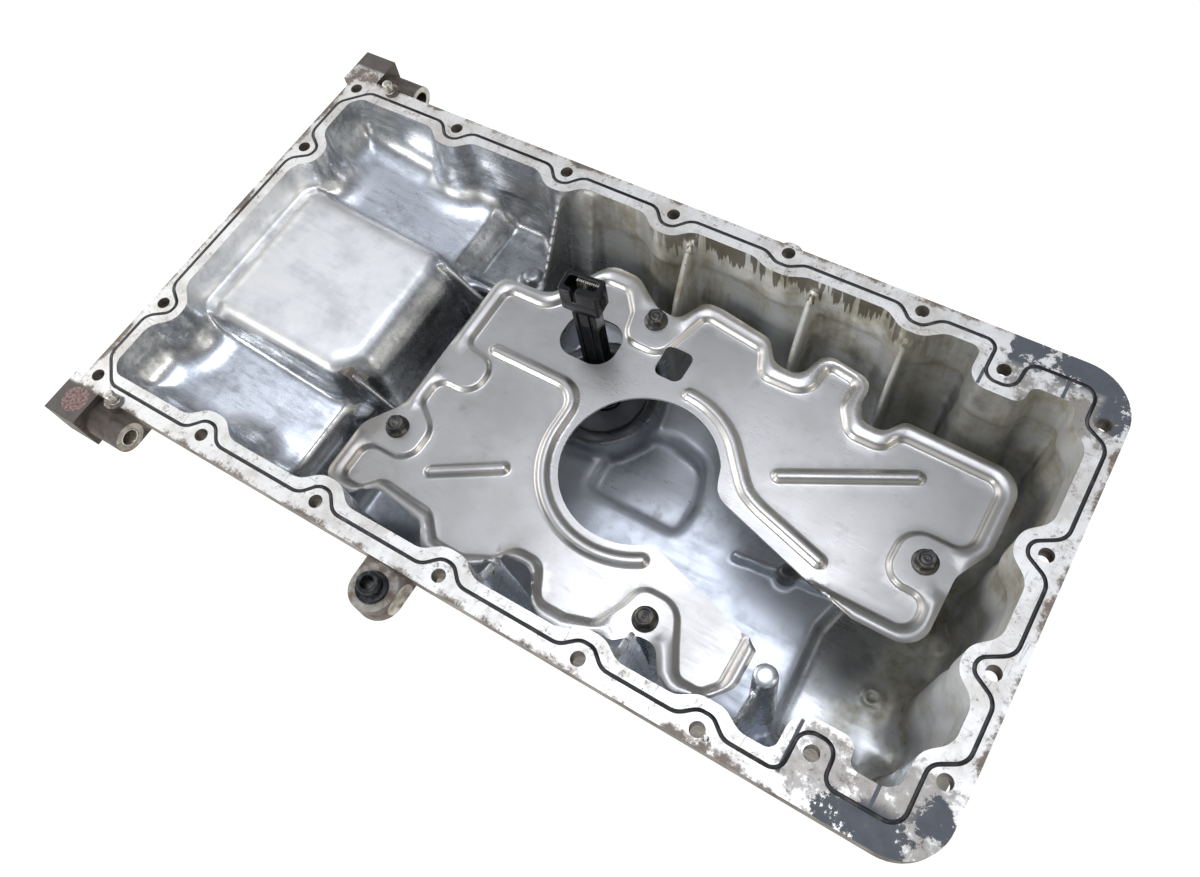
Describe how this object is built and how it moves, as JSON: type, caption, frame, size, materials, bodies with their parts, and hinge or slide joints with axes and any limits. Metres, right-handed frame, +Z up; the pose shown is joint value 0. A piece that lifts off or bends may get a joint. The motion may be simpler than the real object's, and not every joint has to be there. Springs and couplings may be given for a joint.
{
  "type": "engine oil pan",
  "caption": "Cast aluminium oil pan with a deep sump, a shallow gearbox end, a pressed baffle plate, a level sensor and a sealed bolting rim.",
  "frame": {"origin": "on the plane the pan rests on, under the centre of the bolting rim; the rim face is 136 mm above it", "axes": "+X from the gearbox end to the timing end, +Y from the near long side to the far long side, +Z up out of the open side"},
  "size_m": [0.5085, 0.3044, 0.147],
  "materials": {
    "cast_aluminium": "satin",
    "seal_rubber": "matte",
    "baffle_steel": "satin",
    "phosphated_steel": "satin",
    "sensor_plastic": "gloss",
    "ring_rubber": "matte",
    "contact_brass": "satin",
    "plug_steel": "satin",
    "washer_copper": "satin",
    "black_nut_steel": "satin",
    "bright_steel": "polished"
  },
  "bodies": {
    "root": {"pan_casting": "cast_aluminium", "flange_seal": "seal_rubber", "baffle_plate": "baffle_steel", "sensor_base": "sensor_plastic", "sensor_ring": "ring_rubber", "sensor_stem": "sensor_plastic", "sensor_head": "sensor_plastic", "sensor_contacts": "contact_brass", "drain_plug": "plug_steel", "drain_washer": "washer_copper", "bracket_nut": "black_nut_steel", "dowel_sleeve": "bright_steel", "baffle_screw_1": "phosphated_steel", "baffle_screw_2": "phosphated_steel", "baffle_screw_3": "phosphated_steel", "baffle_screw_4": "phosphated_steel", "sensor_screw_1": "phosphated_steel", "sensor_screw_2": "phosphated_steel", "sensor_screw_3": "phosphated_steel", "locating_pin_1": "bright_steel", "locating_pin_2": "bright_steel"}
  },
  "joints": []
}
